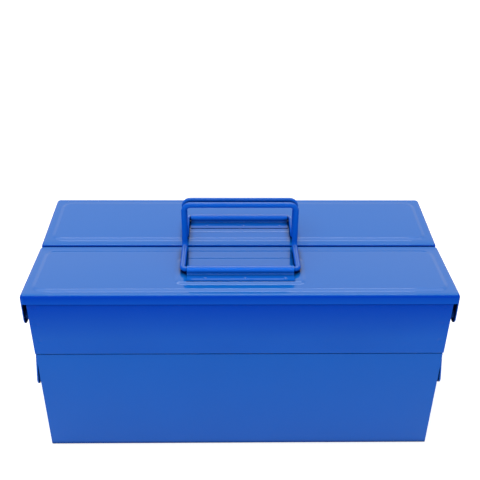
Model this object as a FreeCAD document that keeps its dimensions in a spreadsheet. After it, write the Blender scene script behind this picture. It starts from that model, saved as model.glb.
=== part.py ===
import FreeCAD, Part
import os
import re

import Sketcher
from FreeCAD import Placement, Rotation, Vector

# Cantilever tool box of folded sheet steel: a lower box, two trays that swing
# outward on flat arms, a hinged lid on each tray and a wire carrying handle on
# each lid. Millimetres, +Z up, +X along the box, the front towards -Y. The
# origin is the middle of the underside of the lower box. The pieces of the
# front half are drawn where they lie, and those of the rear half are the same
# pieces turned half round.

# Driving dimensions, in millimetres and degrees.
DRIVING_SIZES = {
    # Sheet steel and its folds
    "sheet_metal": 0.8,
    "bend": 1.5,
    "hem_width": 6,
    "end_flange": 9,
    # Lower box
    "base_inset": 0.6,
    "base_depth": 193.2,
    "base_height": 134.8,
    # Trays: their faces stand out over the lower box and stop short of the middle
    "tray_length": 429.4,
    "tray_overhang": 0.8,
    "tray_inner_face": 4,
    "tray_height": 67.4,
    "rest_gap": 0.4,
    # Lids
    "lid_side_gap": 0.6,
    "lid_end_gap": 4.5,
    "lid_above_rim": 9.4,
    "lid_gap": 0.8,
    "lid_tilt": 2.5,
    "lid_bend": 3,
    "lid_corner": 4,
    "end_lip": 13,
    "outer_lip_step": 2.8,
    "seam_lip_step": 2,
    # Ears of the lids and the pivots they turn on
    "ear_radius": 9.8,
    "ear_blend": 6,
    "lid_pivot_inset": 10.8,
    "upper_pivot_rise": 46.8,
    # Raised panels of the lids, measured to the foot of their sloping sides
    "panel_rise": 1,
    "panel_run": 4,
    "panel_margin": 7.6,
    "panel_seam_margin": 9.8,
    "panel_end_margin": 8.5,
    "panel_corner": 12,
    "saddle_near": 18.8,
    "saddle_far_margin": 26.6,
    "saddle_end_margin": 7.5,
    "saddle_corner": 9,
    "crease": 5,
    # Arms
    "arm_width": 15,
    "arm_metal": 1.5,
    "arm_gap": 4.3,
    "arm_reach": 34,
    "arm_foot_drop": 44.3,
    "arm_foot_inset": 15,
    "arm_top_inset": 6.6,
    # Rivets, washers and spacers
    "rivet_radius": 2.5,
    "head_radius": 4.5,
    "head_rise": 1.3,
    "tail_radius": 4,
    "tail_rise": 1.1,
    "washer_radius": 6,
    "spacer_radius": 5.5,
    "running_gap": 0.05,
    "open_pivot_gap": 0.15,
    "side_gap": 0.1,
    # Wire handles, their rods set in from the outer edges of the lids
    "wire_radius": 3,
    "handle_width": 120,
    "handle_tilt": 3.5,
    "front_rod_inset": 40.4,
    "rear_rod_inset": 50.9,
    "handle_leg": 49.4,
    "rod_bend": 4.6,
    "elbow_bend": 7,
    "grip_bend": 7,
    "grip_gap": 4,
    "wire_ends_gap": 1,
    # Rolled clips that hold the handles on the lids
    "clip_end_gap": 4.5,
    "clip_metal": 0.8,
    "clip_clearance": 0.3,
    "clip_flange": 16.5,
    "clip_fillet": 1.2,
    "clip_curl": 10,
    # Spot weld dimples of the trays and of the clips
    "weld_ball": 9,
    "weld_depth": 0.5,
    "weld_inset": 7.2,
    "weld_lowest": 17.6,
    "weld_highest": 7.4,
    "clip_weld_ball": 3.5,
    "clip_weld_edge": 4.6,
    "clip_weld_left": 19,
    "clip_weld_right": 9.4,
    # Overrun of every cut
    "overrun": 2,
}

# Dimensions worked out from the driving ones. Sides are measured from the
# middle plane along Y, and ends from the middle plane along X.
DERIVED_SIZES = {
    "fold_inside": "bend - sheet_metal",
    "base_length": "tray_length - 2 * base_inset",
    "base_end": "base_length / 2",
    "base_side": "base_depth / 2",
    "tray_end": "tray_length / 2",
    "tray_outer_face": "base_side + tray_overhang",
    "tray_floor": "base_height + rest_gap",
    "tray_rim": "tray_floor + tray_height",
    "arm_inside": "tray_end + arm_gap",
    "arm_outside": "arm_inside + arm_metal",
    "lid_end": "tray_end + lid_end_gap + sheet_metal",
    "lid_length": "2 * lid_end",
    "lid_side": "tray_outer_face + lid_side_gap + sheet_metal",
    "lid_top": "tray_rim + lid_above_rim",
    "lid_slope": "(lid_side - lid_gap / 2) / cos(lid_tilt * 1deg)",
    "outer_lip": "end_lip - outer_lip_step",
    "seam_lip": "end_lip - seam_lip_step",
    "upper_pivot_height": "tray_floor + upper_pivot_rise",
    "lid_pivot_side": "lid_side - lid_pivot_inset",
    "lid_pivot_drop": "lid_top - upper_pivot_height",
    "ear_along": "lid_pivot_inset * cos(lid_tilt * 1deg) + lid_pivot_drop * sin(lid_tilt * 1deg)",
    "ear_down": "lid_pivot_drop * cos(lid_tilt * 1deg) - lid_pivot_inset * sin(lid_tilt * 1deg)",
    "lower_pivot_height": "base_height - arm_foot_drop",
    "outer_arm_foot": "base_side - arm_foot_inset",
    "outer_arm_top": "outer_arm_foot - arm_reach",
    "inner_arm_top": "tray_inner_face + arm_top_inset",
    "arm_spacing": "outer_arm_top - inner_arm_top",
    "inner_arm_foot": "outer_arm_foot - arm_spacing",
    "arm_rise": "upper_pivot_height - lower_pivot_height",
    "arm_length": "sqrt(arm_reach * arm_reach + arm_rise * arm_rise)",
    "arm_lean": "atan(arm_reach / arm_rise) / 1deg",
    "hole_radius": "rivet_radius + running_gap",
    "open_hole_radius": "rivet_radius + open_pivot_gap",
    "dome_radius": "(head_radius * head_radius + head_rise * head_rise) / 2 / head_rise",
    "panel_slope": "atan(panel_rise / panel_run) / 1deg",
    "panel_end": "lid_end - panel_end_margin",
    "saddle_end": "handle_width / 2 + saddle_end_margin",
    "clip_length": "handle_width - 2 * clip_end_gap",
    "clip_bore": "wire_radius + clip_clearance",
    "clip_radius": "clip_bore + clip_metal",
    "clip_foot": "clip_radius + clip_fillet",
    "rod_lift": "2 * panel_rise + clip_radius",
    "leg_side": "handle_width / 2",
    "grip_side": "grip_gap / 2 + wire_radius",
    "elbow_side": "grip_side + handle_leg * sin(handle_tilt * 1deg)",
    "front_rod_side": "lid_side - front_rod_inset",
    "rear_rod_side": "lid_side - rear_rod_inset",
    "front_handle_arm": "(front_rod_side - elbow_side) / cos(handle_tilt * 1deg)",
    "rear_handle_arm": "(rear_rod_side - elbow_side) / cos(handle_tilt * 1deg)",
    "rod_height_at_edge": "lid_top + rod_lift / cos(lid_tilt * 1deg)",
    "front_rod_height": "rod_height_at_edge - front_rod_inset * tan(lid_tilt * 1deg)",
    "rear_rod_height": "rod_height_at_edge - rear_rod_inset * tan(lid_tilt * 1deg)",
    "weld_step": "(tray_height - weld_lowest - weld_highest) / 2",
    "clip_weld_step": "(clip_length - clip_weld_left - clip_weld_right) / 2",
}

# Two coordinates closer than this are one place.
SAME_PLACE = 1e-4
# The whole lid as a field: its left, near, right and far edges.
EVERYWHERE = ("-lid_end", "0", "lid_end", "lid_slope")

doc = FreeCAD.newDocument("tool_box")
sheet = doc.addObject("Spreadsheet::Sheet", "sizes")
pieces = []


def fill_sheet():
    """Write every dimension into the sheet, one row each, under its alias."""
    row = 0
    for table, mark in ((DRIVING_SIZES, ""), (DERIVED_SIZES, "=")):
        for alias, content in table.items():
            row += 1
            sheet.set("A%d" % row, alias)
            sheet.set("B%d" % row, mark + str(content))
            sheet.setAlias("B%d" % row, alias)
    doc.recompute()


def bound(text):
    """Point every dimension that an expression names at its cell."""
    def cell(word):
        name = word.group(0)
        known = name in DRIVING_SIZES or name in DERIVED_SIZES
        return "sizes." + name if known else name
    return re.sub(r"[a-z_]+", cell, text)


def number(text):
    """Value of an expression over the sheet."""
    return float(sheet.evalExpression(bound(text)))


def bind(piece, **properties):
    """Bind properties of an object to expressions over the sheet."""
    for name, text in properties.items():
        piece.setExpression(name, bound(text))


def bind_base(piece, place):
    """Bind the three coordinates of an object's placement."""
    for axis, text in zip("xyz", place):
        piece.setExpression("Placement.Base." + axis, bound(text))


def new_piece(label):
    """A body that is one sub-part, under its own label."""
    body = doc.addObject("PartDesign::Body", label)
    body.Label = label
    pieces.append(body)
    return body


def put(piece, spot, tilt, rear=False):
    """Bind a piece's placement: tilted about X at a spot, then turned half round if rear."""
    place = "placement(vector(%s; %s; %s); rotation(vector(1; 0; 0); %s))" % (*spot, tilt)
    if rear:
        place = "placement(vector(0; 0; 0); rotation(vector(0; 0; 1); 180)) * " + place
    piece.setExpression("Placement", bound(place))


def turn_half_round(pieces_in_place):
    """Turn pieces drawn in place in the front half to their place in the rear half."""
    for piece in pieces_in_place:
        piece.Placement = Placement(Vector(), Rotation(Vector(0, 0, 1), 180))


def hands(rear):
    """Side along X and name of each end of a half, as its pieces are drawn."""
    return ((1, "left"), (-1, "right")) if rear else ((-1, "left"), (1, "right"))


def origin_of(body, role):
    """Plane or axis of a body's own origin."""
    return [feature for feature in body.Origin.OriginFeatures if feature.Role == role][0]


def between(side, inner, outer):
    """Start and length along X of what lies from one distance off the middle to another."""
    start = "(%s)" % inner if side > 0 else "-(%s)" % outer
    return start, "(%s) - (%s)" % (outer, inner)


def block(body, name, corner, size, cut=False):
    """A box feature, from its lowest corner and its three lengths."""
    kind = "PartDesign::SubtractiveBox" if cut else "PartDesign::AdditiveBox"
    piece = body.newObject(kind, name)
    bind(piece, Length=size[0], Width=size[1], Height=size[2])
    bind_base(piece, corner)


def disc(body, name, start, radius, thickness, cut=False):
    """A cylinder feature that runs from its start towards +X."""
    kind = "PartDesign::SubtractiveCylinder" if cut else "PartDesign::AdditiveCylinder"
    piece = body.newObject(kind, name)
    piece.Placement = Placement(Vector(), Rotation(Vector(0, 1, 0), 90))
    bind(piece, Radius=radius, Height=thickness)
    bind_base(piece, start)


def dimple(body, name, centre, ball):
    """The shallow pit that one spot weld leaves, cut by a ball."""
    piece = body.newObject("PartDesign::SubtractiveSphere", name)
    bind(piece, Radius=ball)
    bind_base(piece, centre)


def straight_edges(shape, along, places):
    """Names of the straight edges along an axis through the given places.

    A place gives the two other coordinates of an edge, in the order of the axes."""
    axis = "xyz".index(along)
    others = [index for index in range(3) if index != axis]
    wanted = [[number(text) for text in place] for place in places]
    names = []
    for index, edge in enumerate(shape.Edges):
        if edge.Degenerated or edge.Curve.TypeId != "Part::GeomLine":
            continue
        if 1 - abs(edge.tangentAt(edge.FirstParameter)[axis]) > SAME_PLACE:
            continue
        middle = [edge.CenterOfMass[other] for other in others]
        if any(max(abs(a - b) for a, b in zip(middle, place)) < SAME_PLACE for place in wanted):
            names.append("Edge%d" % (index + 1))
    if len(names) < len(places):
        raise ValueError("%d edges of %d found" % (len(names), len(places)))
    return names


def level_edges(shape, height, field=None):
    """Names of the edges that lie wholly at one height, and within a field if one is given."""
    level = number(height)
    left, near, right, far = (number(place) for place in field or EVERYWHERE)
    names = []
    for index, edge in enumerate(shape.Edges):
        box = edge.BoundBox
        if max(abs(box.ZMin - level), abs(box.ZMax - level)) > SAME_PLACE:
            continue
        if min(box.XMin - left, box.YMin - near, right - box.XMax, far - box.YMax) > -SAME_PLACE:
            names.append("Edge%d" % (index + 1))
    return names


def rounded(body, name, radius, choose):
    """Fillet the edges that a function picks from the body as it stands."""
    doc.recompute()
    before = body.Tip
    piece = body.newObject("PartDesign::Fillet", name)
    piece.Base = (before, choose(before.Shape))
    bind(piece, Radius=radius)
    doc.recompute()


def tie(sketch, curve, point, corner):
    """Hold one point of a sketch at two dimensions from the sketch's origin."""
    for kind, text in zip(("DistanceX", "DistanceY"), corner):
        if text is None:
            continue
        rule = Sketcher.Constraint(kind, -1, 1, curve, point, number(text))
        sketch.setExpression("Constraints[%d]" % sketch.addConstraint(rule), bound(text))


def outline(body, name, plane, corners, arcs=None):
    """A closed outline through corners that are tied to dimensions.

    An entry of arcs makes the side that leaves one corner a round one: it gives
    the arc's centre and whether the outline follows it anticlockwise."""
    sketch = body.newObject("Sketcher::SketchObject", name)
    sketch.AttachmentSupport = [(origin_of(body, plane), "")]
    sketch.MapMode = "FlatFace"
    points = [Vector(number(across), number(up), 0) for across, up in corners]
    ends = []
    for index, start in enumerate(points):
        end = points[(index + 1) % len(points)]
        if arcs and index in arcs:
            centre_text, anticlockwise = arcs[index]
            centre = Vector(number(centre_text[0]), number(centre_text[1]), 0)
            circle = Part.Circle(centre, Vector(0, 0, 1), (start - centre).Length)
            first, last = (start, end) if anticlockwise else (end, start)
            curve = Part.ArcOfCircle(circle, circle.parameter(first), circle.parameter(last))
            ends.append((1, 2) if anticlockwise else (2, 1))
        else:
            curve = Part.LineSegment(start, end)
            ends.append((1, 2))
        sketch.addGeometry(curve, False)
    for index, corner in enumerate(corners):
        joined = Sketcher.Constraint("Coincident", index - 1 if index else len(corners) - 1,
                                     ends[index - 1][1], index, ends[index][0])
        sketch.addConstraint(joined)
        tie(sketch, index, ends[index][0], corner)
        if arcs and index in arcs:
            tie(sketch, index, 3, (None, arcs[index][0][1]))
    return sketch


def pad(body, name, sketch, length):
    """Pad a sketch half each way from its plane."""
    piece = body.newObject("PartDesign::Pad", name)
    piece.Profile = sketch
    piece.SideType = "Symmetric"
    bind(piece, Length=length)


def channel(label, length, near, far, floor, rim):
    """A folded channel along X: a floor and two walls, each with a hem turned inward."""
    body = new_piece(label)
    near_hem = "%s + hem_width" % near
    far_hem = "%s - hem_width" % far
    near_inside = "%s + sheet_metal" % near
    far_inside = "%s - sheet_metal" % far
    floor_inside = "%s + sheet_metal" % floor
    under_rim = "%s - sheet_metal" % rim
    section = outline(body, label + "_section", "YZ_Plane", [
        (near, floor), (far, floor), (far, rim), (far_hem, rim), (far_hem, under_rim),
        (far_inside, under_rim), (far_inside, floor_inside), (near_inside, floor_inside),
        (near_inside, under_rim), (near_hem, under_rim), (near_hem, rim), (near, rim)])
    pad(body, label + "_pad", section, length)
    outside = [(side, level) for side in (near, far) for level in (floor, rim)]
    inside = [(side, level) for side in (near_inside, far_inside)
              for level in (floor_inside, under_rim)]
    rounded(body, label + "_outer_folds", "bend",
            lambda shape: straight_edges(shape, "x", outside))
    rounded(body, label + "_inner_folds", "fold_inside",
            lambda shape: straight_edges(shape, "x", inside))
    return body


def end_pan(label, side, end, near, far, floor, rim, pivots):
    """An end plate with flanges turned inward all round, inside the end of a channel."""
    body = new_piece(label)
    low = "%s + sheet_metal" % floor
    high = "%s - sheet_metal" % rim
    left = "%s + sheet_metal" % near
    right = "%s - sheet_metal" % far
    start, length = between(side, "%s - end_flange" % end, end)
    block(body, label + "_plate", (start, left, low),
          (length, "%s - (%s)" % (right, left), "%s - (%s)" % (high, low)))
    corners = [(y, z) for y in (left, right) for z in (low, high)]
    rounded(body, label + "_corners", "bend", lambda shape: straight_edges(shape, "x", corners))
    start, length = between(side, "%s - end_flange - overrun" % end, "%s - sheet_metal" % end)
    inside_low = "%s + sheet_metal" % low
    inside_high = "%s - sheet_metal" % high
    inside_left = "%s + sheet_metal" % left
    inside_right = "%s - sheet_metal" % right
    block(body, label + "_hollow", (start, inside_left, inside_low),
          (length, "%s - (%s)" % (inside_right, inside_left),
           "%s - (%s)" % (inside_high, inside_low)), cut=True)
    inner_corners = [(y, z) for y in (inside_left, inside_right) for z in (inside_low, inside_high)]
    rounded(body, label + "_inner_corners", "fold_inside",
            lambda shape: straight_edges(shape, "x", inner_corners))
    start, length = between(side, "%s - sheet_metal - overrun" % end, "%s + overrun" % end)
    for index, (across, height) in enumerate(pivots):
        disc(body, "%s_hole_%d" % (label, index), (start, across, height), "hole_radius", length,
             cut=True)
    return body


def repeat_on_both_ends(body, feature, spacing=None):
    """Repeat a feature at the second pivot of an end, then on the other end of the box."""
    last = feature
    if spacing:
        row = body.newObject("PartDesign::LinearPattern", body.Label + "_row")
        row.Originals = [feature]
        row.Direction = (origin_of(body, "Y_Axis"), [""])
        bind(row, Length=spacing)
        row.Occurrences = 2
        body.Tip = row
        last = row
    mirror = body.newObject("PartDesign::Mirrored", body.Label + "_both_ends")
    mirror.MirrorPlane = (origin_of(body, "YZ_Plane"), [""])
    if spacing:
        mirror.TransformMode = "Whole shape"
    else:
        mirror.Originals = [last]
    body.Tip = mirror


def turned_pieces(label, section, arcs, across, height, spacing=None):
    """Round pieces that share one pivot line, revolved from a section given by
    distance along X and radius, and repeated at every such pivot."""
    body = new_piece(label)
    sketch = outline(body, label + "_section", "XZ_Plane", section, arcs)
    sketch.setExpression("AttachmentOffset.Base.y", bound(height))
    sketch.setExpression("AttachmentOffset.Base.z", bound("-(%s)" % across))
    turned = body.newObject("PartDesign::Revolution", label + "_turned")
    turned.Profile = sketch
    turned.ReferenceAxis = (sketch, ["H_Axis"])
    turned.Angle = 360
    repeat_on_both_ends(body, turned, spacing)
    return body


def rivets(label, plate_end, head_seat, across, height, spacing=None):
    """Rivets with a domed head outside and a flat tail inside the plate they hold."""
    tail_seat = "%s - sheet_metal" % plate_end
    tail_end = "%s - tail_rise" % tail_seat
    section = [(tail_end, "0"), (head_seat + " + head_rise", "0"), (head_seat, "head_radius"),
               (head_seat, "rivet_radius"), (tail_seat, "rivet_radius"), (tail_seat, "tail_radius"),
               (tail_end, "tail_radius - tail_rise / 2")]
    dome = {1: ((head_seat + " + head_rise - dome_radius", "0"), True)}
    return turned_pieces(label, section, dome, across, height, spacing)


def rings(label, plate_end, outer_face, radius, across, height, spacing=None):
    """Washers or spacers on the rivets, outside the plate."""
    section = [(plate_end, "hole_radius"), (outer_face, "hole_radius"),
               (outer_face, radius), (plate_end, radius)]
    return turned_pieces(label, section, None, across, height, spacing)


def arm(label, side, foot, top_hole, rear):
    """A flat arm with round ends, from its foot on the lower box to its top on a tray."""
    body = new_piece(label)
    half = "arm_width / 2"
    corners = [(half, "0"), (half, "arm_length"), ("-" + half, "arm_length"), ("-" + half, "0")]
    ends = {1: (("0", "arm_length"), True), 3: (("0", "0"), True)}
    pad(body, label + "_pad", outline(body, label + "_outline", "YZ_Plane", corners, ends),
        "arm_metal")
    start = "-arm_metal / 2 - overrun"
    through = "arm_metal + 2 * overrun"
    disc(body, label + "_foot_hole", (start, "0", "0"), "hole_radius", through, cut=True)
    disc(body, label + "_top_hole", (start, "0", "arm_length"), top_hole, through, cut=True)
    middle = "%d * (arm_inside + arm_metal / 2)" % side
    put(body, (middle, "-" + foot, "lower_pivot_height"), "-arm_lean", rear)


def field_foot(body, name, field, inset, corner, level):
    """Outline of a raised field at the foot of its sloping sides, inset by a given amount."""
    left, near, right, far = ("%s %s %s" % (place, sign, inset)
                              for place, sign in zip(field, "++--"))
    bend = "(%s - %s)" % (corner, inset)
    inner = ("%s + %s" % (left, bend), "%s + %s" % (near, bend),
             "%s - %s" % (right, bend), "%s - %s" % (far, bend))
    corners = [(inner[0], near), (inner[2], near), (right, inner[1]), (right, inner[3]),
               (inner[2], far), (inner[0], far), (left, inner[3]), (left, inner[1])]
    arcs = {1: ((inner[2], inner[1]), True), 3: ((inner[2], inner[3]), True),
            5: ((inner[0], inner[3]), True), 7: ((inner[0], inner[1]), True)}
    foot = outline(body, name + "_foot", "XY_Plane", corners, arcs)
    foot.setExpression("AttachmentOffset.Base.z", bound(level))
    return foot


def raised_field(body, name, field, level, corner):
    """A field pressed up from a level of the lid, with sloping sides and soft creases.

    The field is given by its left, near, right and far edges."""
    raised = body.newObject("PartDesign::Pad", name)
    raised.Profile = field_foot(body, name, field, "0", corner, level)
    bind(raised, Length="panel_rise", TaperAngle="panel_slope - 90")
    hollow = body.newObject("PartDesign::Pocket", name + "_hollow")
    inset = "sheet_metal * tan(panel_slope / 2 * 1deg)"
    hollow.Profile = field_foot(body, name + "_hollow", field, inset, corner,
                                  level + " - sheet_metal")
    hollow.Reversed = True
    bind(hollow, Length="panel_rise", TaperAngle="panel_slope - 90")
    for height, edge in ((level, "lower"), (level + " + panel_rise", "upper")):
        rounded(body, "%s_%s_crease" % (name, edge), "crease",
                lambda shape: level_edges(shape, height, field))


def lid(label, rear):
    """A lid, drawn flat from its outer edge at y 0 and tilted down to the seam."""
    body = new_piece(label)
    block(body, label + "_blank", ("-lid_end", "0", "-end_lip"),
          ("lid_length", "lid_slope", "end_lip"))
    block(body, label + "_inside", ("sheet_metal - lid_end", "sheet_metal", "-end_lip - overrun"),
          ("lid_length - 2 * sheet_metal", "lid_slope - 2 * sheet_metal",
           "end_lip + overrun - sheet_metal"), cut=True)
    inside = [(x, y) for x in ("sheet_metal - lid_end", "lid_end - sheet_metal")
              for y in ("sheet_metal", "lid_slope - sheet_metal")]
    outside = [(x, y) for x in ("-lid_end", "lid_end") for y in ("0", "lid_slope")]
    rounded(body, label + "_inner_corners", "lid_corner - sheet_metal",
            lambda shape: straight_edges(shape, "z", inside))
    rounded(body, label + "_inner_folds", "lid_bend - sheet_metal",
            lambda shape: level_edges(shape, "-sheet_metal"))
    rounded(body, label + "_corners", "lid_corner",
            lambda shape: straight_edges(shape, "z", outside))
    rounded(body, label + "_folds", "lid_bend", lambda shape: level_edges(shape, "0"))
    across = ("-lid_end - overrun", "lid_length + 2 * overrun")
    block(body, label + "_outer_trim", (across[0], "-overrun", "-end_lip - overrun"),
          (across[1], "ear_along - ear_radius + overrun", "end_lip + overrun - outer_lip"),
          cut=True)
    block(body, label + "_seam_trim", (across[0], "lid_slope - lid_corner", "-end_lip - overrun"),
          (across[1], "lid_corner + overrun", "end_lip + overrun - seam_lip"), cut=True)
    for side, name in ((-1, "left"), (1, "right")):
        ear(body, "%s_%s_ear" % (label, name), side)
    raised_field(body, label + "_panel",
                 ("-panel_end", "panel_margin", "panel_end", "lid_slope - panel_seam_margin"),
                 "0", "panel_corner")
    raised_field(body, label + "_saddle",
                 ("-saddle_end", "saddle_near", "saddle_end", "lid_slope - saddle_far_margin"),
                 "panel_rise", "saddle_corner")
    put(body, ("0", "-lid_side", "lid_top"), "-lid_tilt", rear)


def ear(body, name, side):
    """The tab at one end of a lid that turns on the lid's pivot rivet."""
    start, length = between(side, "lid_end - sheet_metal", "lid_end")
    block(body, name, (start, "ear_along - ear_radius", "-ear_down"),
          (length, "2 * ear_radius", "ear_down - lid_bend"))
    disc(body, name + "_end", (start, "ear_along", "-ear_down"), "ear_radius", length)
    rounded(body, name + "_blend", "ear_blend", lambda shape: end_blend(shape, side))
    start, length = between(side, "lid_end - sheet_metal - overrun", "lid_end + overrun")
    disc(body, name + "_hole", (start, "ear_along", "-ear_down"), "hole_radius", length, cut=True)


def end_blend(shape, side):
    """The inner corner between an ear and the lip of its own end."""
    both = straight_edges(shape, "x", [("ear_along + ear_radius", "-end_lip")])
    return [name for name in both if shape.getElement(name).CenterOfMass.x * side > 0]


def clip(label, spot, tilt):
    """The clip that holds a handle: a flange welded to the lid, in front of a roll round the rod."""
    body = new_piece(label)
    end = ("-sin(clip_curl * 1deg)", "-cos(clip_curl * 1deg)")
    bend = ("-clip_foot", "clip_fillet - clip_bore")
    corners = [("-clip_foot", "-clip_bore"), ("-clip_flange", "-clip_bore"),
               ("-clip_flange", "-clip_radius"), ("-clip_foot", "-clip_radius"),
               ("-clip_bore", bend[1]), ("-clip_bore", "0"),
               ("clip_bore * " + end[0], "clip_bore * " + end[1]),
               ("clip_radius * " + end[0], "clip_radius * " + end[1]),
               ("-clip_radius", "0"), ("-clip_radius", bend[1])]
    arcs = {3: (bend, True), 5: (("0", "0"), False), 7: (("0", "0"), True), 9: (bend, False)}
    pad(body, label + "_pad", outline(body, label + "_section", "YZ_Plane", corners, arcs),
        "clip_length")
    for index in range(3):
        centre = ("clip_weld_left - clip_length / 2 + %d * clip_weld_step" % index,
                  "clip_weld_edge - clip_flange", "clip_weld_ball - weld_depth - clip_bore")
        dimple(body, "%s_weld_%d" % (label, index), centre, "clip_weld_ball")
    put(body, spot, tilt)


def bent_path(corners, radii):
    """Straight runs through corners, each corner rounded by a tangent arc of its radius."""
    edges = []
    start = corners[0]
    for before, corner, after, radius in zip(corners, corners[1:], corners[2:], radii):
        back = (before - corner).normalize()
        onward = (after - corner).normalize()
        entry = corner + back * radius
        leave = corner + onward * radius
        centre = entry + onward * radius
        middle = centre + (corner - centre).normalize() * radius
        edges.append(Part.LineSegment(start, entry).toShape())
        edges.append(Part.Arc(entry, middle, leave).toShape())
        start = leave
    edges.append(Part.LineSegment(start, corners[-1]).toShape())
    return Part.Wire(edges)


def handle(half, rear):
    """A wire handle: rod, two arms, two legs and a grip, every corner square."""
    side = number("leg_side")
    reach = number(half + "_handle_arm")
    leg = number("handle_leg")
    end = number("wire_ends_gap") / 2
    corners = [Vector(end, 0, 0), Vector(side, 0, 0), Vector(side, reach, 0),
               Vector(side, reach, leg), Vector(-side, reach, leg), Vector(-side, reach, 0),
               Vector(-side, 0, 0), Vector(-end, 0, 0)]
    bends = [number(name) for name in ("rod_bend", "elbow_bend", "grip_bend")]
    path = bent_path(corners, bends + bends[::-1])
    circle = Part.Circle(corners[0], Vector(1, 0, 0), number("wire_radius"))
    label = half + "_handle_wire"
    piece = doc.addObject("Part::Feature", label)
    piece.Label = label
    piece.Shape = path.makePipeShell([Part.Wire(circle.toShape())], True, False)
    put(piece, ("0", "-%s_rod_side" % half, half + "_rod_height"), "-handle_tilt", rear)
    pieces.append(piece)


def lower_box():
    """The lower box: a wrapper of floor and long walls, and an end pan at each end."""
    side = "base_side"
    channel("lower_box_wrapper", "base_length", "-" + side, side, "0", "base_height")
    feet = ("outer_arm_foot", "inner_arm_foot")
    pivots = [(sign + foot, "lower_pivot_height") for sign in ("-", "") for foot in feet]
    for end, name in ((-1, "left"), (1, "right")):
        end_pan("lower_box_%s_end" % name, end, "base_end", "-" + side, side, "0", "base_height",
                pivots)


def lower_pivots(half):
    """Rivets and spacers that carry the feet of one half's arms."""
    place = ("-outer_arm_foot", "lower_pivot_height", "arm_spacing")
    spacer_face = "arm_inside - side_gap"
    return [rivets(half + "_arm_foot_rivets", "base_end", "arm_outside + side_gap", *place),
            rings(half + "_arm_foot_spacers", "base_end", spacer_face, "washer_radius", *place)]


def tray(half, rear):
    """A tray: trough, two end pans and the pivots of its arms and its lid."""
    near = "-tray_outer_face"
    far = "-tray_inner_face"
    tops = ("outer_arm_top", "inner_arm_top", "lid_pivot_side")
    pivots = [("-" + top, "upper_pivot_height") for top in tops]
    trough = channel(half + "_tray_trough", "tray_length", near, far, "tray_floor", "tray_rim")
    made = [trough]
    for end, name in hands(rear):
        across = "%d * (tray_end - weld_inset)" % end
        for index in range(3):
            height = "tray_floor + weld_lowest + %d * weld_step" % index
            dimple(trough, "%s_tray_%s_weld_%d" % (half, name, index),
                   (across, "-tray_outer_face + weld_depth - weld_ball", height), "weld_ball")
        made.append(end_pan("%s_tray_%s_end" % (half, name), end, "tray_end", near, far,
                            "tray_floor", "tray_rim", pivots))
    arm_tops = ("-outer_arm_top", "upper_pivot_height", "arm_spacing")
    hinge = ("-lid_pivot_side", "upper_pivot_height")
    lid_inside = "lid_end - sheet_metal"
    return made + [
        rivets(half + "_arm_top_rivets", "tray_end", "arm_outside + side_gap", *arm_tops),
        rings(half + "_arm_top_washers", "tray_end", "arm_inside - side_gap", "washer_radius",
              *arm_tops),
        rivets(half + "_lid_pivot_rivets", "tray_end", "lid_end + side_gap", *hinge),
        rings(half + "_lid_pivot_spacers", "tray_end", lid_inside + " - side_gap",
              "spacer_radius", *hinge)]


def arms(half, rear):
    """The four arms of one half: an outer and an inner one at each end."""
    for row, foot, top_hole in (("outer", "outer_arm_foot", "hole_radius"),
                                ("inner", "inner_arm_foot", "open_hole_radius")):
        for side, name in hands(rear):
            arm("%s_%s_arm_%s" % (half, row, name), side, foot, top_hole, rear)


def build():
    """Build every piece of the tool box."""
    fill_sheet()
    lower_box()
    for half, rear in (("front", False), ("rear", True)):
        in_place = lower_pivots(half) + tray(half, rear)
        if rear:
            turn_half_round(in_place)
        arms(half, rear)
        lid(half + "_lid_panel", rear)
        handle(half, rear)
    clip("front_handle_clip", ("0", "-front_rod_side", "front_rod_height"), "-lid_tilt")
    clip("rear_handle_clip", ("0", "rear_rod_side", "rear_rod_height"), "lid_tilt")
    doc.recompute()


def write_pieces():
    """Check every object of the document, then write one file for each piece."""
    for entry in doc.Objects:
        if "Invalid" in entry.State or "Error" in entry.State:
            raise RuntimeError("%s failed: %s" % (entry.Name, entry.State))
    for piece in pieces:
        if piece.Shape.isNull() or not piece.Shape.isValid():
            raise RuntimeError("%s has no valid shape" % piece.Label)
    os.makedirs("parts", exist_ok=True)
    for piece in pieces:
        piece.Shape.exportStep("parts/%s.step" % piece.Label)
        print("%-28s %d solids, %9.1f mm3" % (piece.Label, len(piece.Shape.Solids),
                                              piece.Shape.Volume))


build()
write_pieces()
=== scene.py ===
import math

import bpy
from mathutils import Matrix, Vector


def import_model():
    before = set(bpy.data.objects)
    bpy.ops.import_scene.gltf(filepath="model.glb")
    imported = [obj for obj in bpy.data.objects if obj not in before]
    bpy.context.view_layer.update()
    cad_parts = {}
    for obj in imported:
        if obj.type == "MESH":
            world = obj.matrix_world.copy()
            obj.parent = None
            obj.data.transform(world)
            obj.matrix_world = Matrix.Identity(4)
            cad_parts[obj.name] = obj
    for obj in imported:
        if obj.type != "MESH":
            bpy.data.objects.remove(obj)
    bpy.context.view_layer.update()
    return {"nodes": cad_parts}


# Looks of the cantilever tool box: gloss blue enamel on sheet steel, a white
# studio and the camera of the photograph. Metres, +Z up, the front towards -Y.

# Camera, fitted to the corners of the object in the photograph.
CAMERA_PLACE = Vector((-0.0131, -0.6836, 0.6465))
CAMERA_PITCH = math.radians(32.23)
CAMERA_YAW = math.radians(1.127)
CAMERA_ROLL = math.radians(0.579)
FOCAL_PIXELS = 731.2
FRAME_PIXELS = 480
SENSOR = 36
CLIP_START = 0.01
CLIP_END = 50

# Room, and a floor just below the underside of the box.
WHITE = (1, 1, 1, 1)
ROOM_LIGHT = (0.93, 0.96, 1, 1)
ROOM_STRENGTH = 0.55
FLOOR_REACH = 6
FLOOR_DROP = 0.0004
FLOOR_PAPER = (0.8, 0.8, 0.8, 1)
FLOOR_GLOW = 0.56

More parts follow.
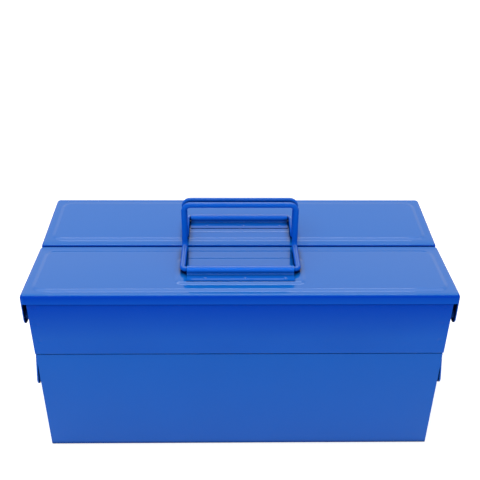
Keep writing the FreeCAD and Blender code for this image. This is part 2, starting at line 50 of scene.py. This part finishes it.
# Lamps: place, the point they aim at, size and watts.
LAMPS = {
    "top_lamp": ((0, 0.45, 2), (0, 0, 0.2), (3.6, 1.6), 15),
    "strip_lamp": ((0, 1.34, 1.69), (0, 0, 0.2), (1.4, 0.3), 5),
    "front_lamp": ((-0.5, -1.5, 2.1), (0, 0, 0.12), (1.8, 1.0), 22),
}

# Enamel colours, linear light. The first two are scaled for each kind of piece, which makes lighter and
# darker copies of the one enamel: painted light and shade.
ENAMEL = (0.0025, 0.104, 0.54)
ENAMEL_DEEP = (0.002, 0.092, 0.5)
# Painted shade: the deeper blue of the rims towards the lids' lips.
ENAMEL_RIM_SHADE = (0.002, 0.053, 0.52, 1)
# Paler blue for sharp convex edges.
ENAMEL_EDGE_PALE = (0.015, 0.17, 0.7, 1)
# Painted sheen: paler, greener blues for faces that look upward, on the sheet and on the handles.
ENAMEL_TOP_SHEEN = (0.004, 0.138, 0.54, 1)
WIRE_TOP_SHEEN = (0.004, 0.118, 0.54, 1)
# Painted shade: near black where the surface is hemmed in.
CREVICE_SHADE = (0.001, 0.01, 0.08, 1)

# Gloss of the enamel and of the clear coat on faces that look upward.
ENAMEL_IOR = 1.2
LAID_SPECULAR = 0.2
COAT_IOR = 1.5
COAT_ROUGHNESS = 0.03
ROUGHNESS_SPREAD = (0.75, 1.3)

# Heights over which the rims deepen with painted shade, and the one where upright
# faces have their middle specular level.
RIM_HEIGHTS = (0.155, 0.206)
MIDDLE_HEIGHT = 0.15

# Upward part of the normal: faces turned down, which keep off the rims' painted shade,
# and faces that look upward, which take the painted sheen colour.
DOWN_SLOPES = (-0.8, -0.3)
LAID_SLOPES = (0.72, 0.965)

# Facing value over which gloss and coat fade as the eye grazes the surface.
GRAZING = (0.55, 0.8)

# Distances from the plane Y = 0 over which the lids' coat thins at the seam
# and at the outer edges, and by how much.
SEAM_SIDES = (0.001, 0.013)
SEAM_THINNING = 0.55
VERGE_SIDES = (0.0915, 0.098)
VERGE_THINNING = 0.6

# Paler edges by pointiness, and painted shade in crevices by how open the surface is.
EDGE_POINTINESS = (0.52, 0.62)
CREVICE_REACH = 0.008
CREVICE_SAMPLES = 8
CREVICE_OPENNESS = (0.45, 0.93)

# Noises: scale, detail and roughness, and the span of each that is used.
CLOUD = (9, 3, 0.55)
CLOUD_SPAN = (0.3, 0.7)
HAZE = (55, 4, 0.6)
HAZE_SPAN = (0.35, 0.7)
SLOW_WAVES = (7, 1, 0.4)
ORANGE_PEEL = (420, 2, 0.5)

# Enamel of each kind of piece. wave is the height in metres of the slow waves of
# the sheet, peel that of the paint's fine orange peel, and wear how far sharp edges
# show paler paint. middle is the specular level of upright faces at the middle
# height and foot that at the ground, green and blue scale their colour into lighter
# and darker copies of the one enamel, which is painted light and shade, and laid is
# the painted sheen colour of faces that look upward. folded is 1 where painted shade
# deepens the rims towards the lids' lips, and border is 1 where the coat thins along
# long edges.
SHEET_PAINT = {"wave": 0.0006, "peel": 0.000006, "edge_paling": 0.5, "roughness": 0.08,
               "laid": ENAMEL_TOP_SHEEN, "shaded_rims": 1}
PLAIN_PAINT = {"edge_paling": 0.8, "roughness": 0.12, "middle": 0.5, "foot": 0.5, "green": 1, "blue": 1,
               "laid": ENAMEL_TOP_SHEEN, "shaded_rims": 0, "border": 0}
HANDLE_PAINT = {"wave": 0, "peel": 0.000005, "edge_paling": 0.5, "roughness": 0.08,
                "laid": WIRE_TOP_SHEEN, "shaded_rims": 0, "border": 0}
KINDS = {
    "sheet": {**SHEET_PAINT, "middle": 0.34, "foot": 0.82, "green": 0.8, "blue": 0.86, "border": 0},
    "tray": {**SHEET_PAINT, "middle": 0.55, "foot": 0.68, "green": 1.1, "blue": 1.1, "border": 0},
    "lid": {**SHEET_PAINT, "middle": 0.4, "foot": 0.68, "green": 0.99, "blue": 1.02, "border": 1},
    "arm": {**PLAIN_PAINT, "wave": 0.0002, "peel": 0.000006},
    "fastener": {**PLAIN_PAINT, "wave": 0, "peel": 0.000004},
    "clip": {**HANDLE_PAINT, "middle": 0.25, "foot": 0.25, "green": 1.7, "blue": 1.75},
    "wire": {**HANDLE_PAINT, "middle": 0.2, "foot": 0.2, "green": 1.12, "blue": 1.2},
}

# A node is of the kind of the first word here that its name holds, or else sheet.
KIND_WORDS = (("wire", "wire"), ("clip", "clip"), ("rivets", "fastener"), ("washers", "fastener"),
              ("spacers", "fastener"), ("_arm_", "arm"), ("_lid_", "lid"), ("_tray_", "tray"))

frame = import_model()


def camera():
    """The camera of the photograph."""
    forward = Vector((math.sin(CAMERA_YAW) * math.cos(CAMERA_PITCH),
                      math.cos(CAMERA_YAW) * math.cos(CAMERA_PITCH), -math.sin(CAMERA_PITCH)))
    level = forward.cross(Vector((0, 0, 1))).normalized()
    upright = level.cross(forward)
    right = level * math.cos(CAMERA_ROLL) + upright * math.sin(CAMERA_ROLL)
    up = right.cross(forward)
    data = bpy.data.cameras.new("photo_camera")
    data.sensor_width = SENSOR
    data.lens = FOCAL_PIXELS / FRAME_PIXELS * SENSOR
    data.clip_start = CLIP_START
    data.clip_end = CLIP_END
    lens = bpy.data.objects.new("photo_camera", data)
    lens.matrix_world = Matrix.Translation(CAMERA_PLACE) @ Matrix(
        (right, up, -forward)).transposed().to_4x4()
    bpy.context.scene.collection.objects.link(lens)
    bpy.context.scene.camera = lens


class Nodes:
    """Short words for building a node tree.

    A value that goes into a node is a constant or another node's output."""

    def __init__(self, tree):
        self.tree = tree
        tree.nodes.clear()

    def add(self, kind, **values):
        """A node, its properties and constant inputs given by name."""
        node = self.tree.nodes.new(kind)
        for name, value in values.items():
            if name in node.inputs:
                node.inputs[name].default_value = value
            else:
                setattr(node, name, value)
        return node

    def feed(self, socket, value):
        """Set an input to a constant, or link it to an output."""
        if isinstance(value, bpy.types.NodeSocket):
            self.tree.links.new(value, socket)
        else:
            socket.default_value = value

    def reckon(self, operation, *values):
        """The result of an operation on one or two values."""
        node = self.add("ShaderNodeMath", operation=operation)
        for socket, value in zip(node.inputs, values):
            self.feed(socket, value)
        return node.outputs[0]

    def carry(self, value, span, low=0, high=1, smooth=False):
        """The value carried from a span to low and high, held there outside of it."""
        node = self.add("ShaderNodeMapRange", interpolation_type="SMOOTHSTEP" if smooth else "LINEAR")
        self.feed(node.inputs["Value"], value)
        self.feed(node.inputs["From Min"], span[0])
        self.feed(node.inputs["From Max"], span[1])
        self.feed(node.inputs["To Min"], low)
        self.feed(node.inputs["To Max"], high)
        return node.outputs[0]

    def blend(self, factor, first, second):
        """The first colour where the factor is 0, the second where it is 1."""
        node = self.add("ShaderNodeMix", data_type="RGBA")
        self.feed(node.inputs["Factor"], factor)
        self.feed(node.inputs["A"], first)
        self.feed(node.inputs["B"], second)
        return node.outputs["Result"]

    def split(self, vector):
        """The X, Y and Z of a vector."""
        node = self.add("ShaderNodeSeparateXYZ")
        self.feed(node.inputs[0], vector)
        return node.outputs

    def noise(self, place, kind):
        """A noise of the given scale, detail and roughness."""
        scale, detail, roughness = kind
        node = self.add("ShaderNodeTexNoise", Scale=scale, Detail=detail, Roughness=roughness)
        self.feed(node.inputs["Vector"], place)
        return node.outputs["Fac"]

    def relief(self, height, distance):
        """A bump, as a node, so that another can go in below it."""
        node = self.add("ShaderNodeBump", Distance=distance, Strength=1)
        self.feed(node.inputs["Height"], height)
        return node


def seen_white(nodes):
    """A factor of 1 for rays from the camera and for mirrored or refracted ones."""
    path = nodes.add("ShaderNodeLightPath")
    first = nodes.reckon("MAXIMUM", path.outputs["Is Camera Ray"], path.outputs["Is Glossy Ray"])
    return nodes.reckon("MAXIMUM", first, path.outputs["Is Transmission Ray"])


def world():
    """A white room: white where it is seen, softer where it lights the object."""
    room = bpy.data.worlds.new("studio")
    room.use_nodes = True
    bpy.context.scene.world = room
    nodes = Nodes(room.node_tree)
    seen = nodes.add("ShaderNodeBackground", Color=WHITE, Strength=1)
    lit = nodes.add("ShaderNodeBackground", Color=ROOM_LIGHT, Strength=ROOM_STRENGTH)
    mix = nodes.add("ShaderNodeMixShader")
    out = nodes.add("ShaderNodeOutputWorld")
    nodes.feed(mix.inputs[0], seen_white(nodes))
    nodes.feed(mix.inputs[1], lit.outputs[0])
    nodes.feed(mix.inputs[2], seen.outputs[0])
    nodes.feed(out.inputs["Surface"], mix.outputs[0])


def floor():
    """A pale floor that keeps the object's shadow and reads as white around it."""
    reach = FLOOR_REACH
    mesh = bpy.data.meshes.new("floor")
    mesh.from_pydata([(-reach, -reach, 0), (reach, -reach, 0), (reach, reach, 0), (-reach, reach, 0)],
                     [], [(0, 1, 2, 3)])
    plane = bpy.data.objects.new("floor", mesh)
    plane.location.z = -FLOOR_DROP
    bpy.context.scene.collection.objects.link(plane)
    material = bpy.data.materials.new("floor_paper")
    material.use_nodes = True
    nodes = Nodes(material.node_tree)
    paper = nodes.add("ShaderNodeBsdfDiffuse", Color=FLOOR_PAPER)
    glow = nodes.add("ShaderNodeEmission", Color=WHITE)
    nodes.feed(glow.inputs["Strength"], nodes.reckon("MULTIPLY", seen_white(nodes), FLOOR_GLOW))
    both = nodes.add("ShaderNodeAddShader")
    out = nodes.add("ShaderNodeOutputMaterial")
    nodes.feed(both.inputs[0], paper.outputs[0])
    nodes.feed(both.inputs[1], glow.outputs[0])
    nodes.feed(out.inputs["Surface"], both.outputs[0])
    mesh.materials.append(material)


def lamp(name, place, aim, size, watts):
    """A soft rectangular lamp."""
    data = bpy.data.lights.new(name, "AREA")
    data.shape = "RECTANGLE"
    data.size, data.size_y = size
    data.energy = watts
    light = bpy.data.objects.new(name, data)
    light.location = place
    light.rotation_euler = (Vector(aim) - Vector(place)).to_track_quat("-Z", "Y").to_euler()
    bpy.context.scene.collection.objects.link(light)


def upright_colour(nodes, place, rim, edge_paling, green, blue):
    """Colour of upright faces: cloudy, deeper at the rims with painted shade, and paler on sharp edges."""
    # Painted light and shade: green and blue make lighter and darker copies of the one enamel for each
    # kind.
    tones = [(colour[0], colour[1] * green, colour[2] * blue, 1) for colour in (ENAMEL_DEEP, ENAMEL)]
    clouds = nodes.carry(nodes.noise(place, CLOUD), CLOUD_SPAN)
    high = nodes.blend(rim, nodes.blend(clouds, *tones), ENAMEL_RIM_SHADE)
    geometry = nodes.add("ShaderNodeNewGeometry")
    # Paler paint on sharp convex edges.
    edge = nodes.carry(geometry.outputs["Pointiness"], EDGE_POINTINESS, 0, edge_paling)
    return nodes.blend(edge, high, ENAMEL_EDGE_PALE)


def coat_film(nodes, sideways, bend, turned, border):
    """Weight of the clear coat: on faces that look upward, thinner at their long edges."""
    across = nodes.reckon("ABSOLUTE", sideways)
    seam = nodes.carry(across, SEAM_SIDES, 1 - SEAM_THINNING * border, 1, smooth=True)
    verge = nodes.carry(across, VERGE_SIDES, 1, 1 - VERGE_THINNING * border, smooth=True)
    laid = nodes.reckon("MULTIPLY", bend, nodes.reckon("MULTIPLY", seam, verge))
    return nodes.reckon("MULTIPLY", laid, turned)


def specular_level(nodes, height, rim, bend, turned, crevice, middle, foot):
    """Specular level: by height on upright faces, none at rims, at grazing or in crevices."""
    fall = nodes.carry(height, (0, MIDDLE_HEIGHT), foot, middle)
    faded = nodes.reckon("MULTIPLY", fall, nodes.reckon("SUBTRACT", 1, rim))
    lift = nodes.carry(bend, (0, 1), faded, LAID_SPECULAR)
    return nodes.reckon("MULTIPLY", nodes.reckon("MULTIPLY", turned, lift), crevice)


def paint_skin(nodes, place, wave, peel):
    """Normal of the paint: slow waves of the sheet under fine orange peel."""
    bow = nodes.relief(nodes.noise(place, SLOW_WAVES), wave)
    skin = nodes.relief(nodes.noise(place, ORANGE_PEEL), peel)
    nodes.feed(skin.inputs["Normal"], bow.outputs["Normal"])
    return skin.outputs["Normal"]


def enamel(name, wave, peel, edge_paling, roughness, middle, foot, green, blue, laid, shaded_rims, border):
    """Gloss blue enamel over steel, with the values that KINDS explains."""
    material = bpy.data.materials.new(name)
    material.use_nodes = True
    nodes = Nodes(material.node_tree)
    texture = nodes.add("ShaderNodeTexCoord")
    place = texture.outputs["Object"]
    spot = nodes.split(place)
    upward = nodes.split(texture.outputs["Normal"])["Z"]

    # Painted shade: the rims deepen with height, except on faces turned down.
    rim = nodes.carry(spot["Z"], RIM_HEIGHTS, 0, nodes.carry(upward, DOWN_SLOPES, 0, shaded_rims))
    bend = nodes.carry(upward, LAID_SLOPES, smooth=True)
    slant = nodes.add("ShaderNodeLayerWeight", Blend=0.5)
    turned = nodes.carry(slant.outputs["Facing"], GRAZING, 1, 0, smooth=True)
    # Painted shade in crevices: where the surface is hemmed in, the base colour goes nearly black and the
    # gloss drops.
    open_air = nodes.add("ShaderNodeAmbientOcclusion", samples=CREVICE_SAMPLES, Distance=CREVICE_REACH)
    crevice = nodes.carry(open_air.outputs["AO"], CREVICE_OPENNESS)

    upright = upright_colour(nodes, place, rim, edge_paling, green, blue)
    haze = nodes.noise(place, HAZE)
    rough = [roughness * part for part in ROUGHNESS_SPREAD]
    normal = paint_skin(nodes, place, wave, peel)

    shader = nodes.add("ShaderNodeBsdfPrincipled", Metallic=0)
    shader.inputs["IOR"].default_value = ENAMEL_IOR
    shader.inputs["Coat IOR"].default_value = COAT_IOR
    shader.inputs["Coat Roughness"].default_value = COAT_ROUGHNESS
    # Base colour: painted sheen on faces that look upward, and painted shade in crevices.
    nodes.feed(shader.inputs["Base Color"], nodes.blend(crevice, CREVICE_SHADE, nodes.blend(bend, upright, laid)))
    nodes.feed(shader.inputs["Specular IOR Level"],
               specular_level(nodes, spot["Z"], rim, bend, turned, crevice, middle, foot))
    nodes.feed(shader.inputs["Coat Weight"], coat_film(nodes, spot["Y"], bend, turned, border))
    nodes.feed(shader.inputs["Roughness"], nodes.carry(haze, HAZE_SPAN, *rough))
    nodes.feed(shader.inputs["Normal"], normal)
    nodes.feed(shader.inputs["Coat Normal"], normal)
    out = nodes.add("ShaderNodeOutputMaterial")
    nodes.feed(out.inputs["Surface"], shader.outputs[0])
    return material


def paint():
    """Give every CAD node the enamel of its kind."""
    materials = {kind: enamel(kind + "_enamel_gloss", **values) for kind, values in KINDS.items()}
    for name, node in frame["nodes"].items():
        kind = next((kind for word, kind in KIND_WORDS if word in name), "sheet")
        for slot in node.material_slots:
            slot.material = materials[kind]


def studio():
    """White room, floor, lamps and camera."""
    bpy.context.scene.view_settings.view_transform = "Standard"
    world()
    floor()
    for name, values in LAMPS.items():
        lamp(name, *values)
    camera()


studio()
paint()
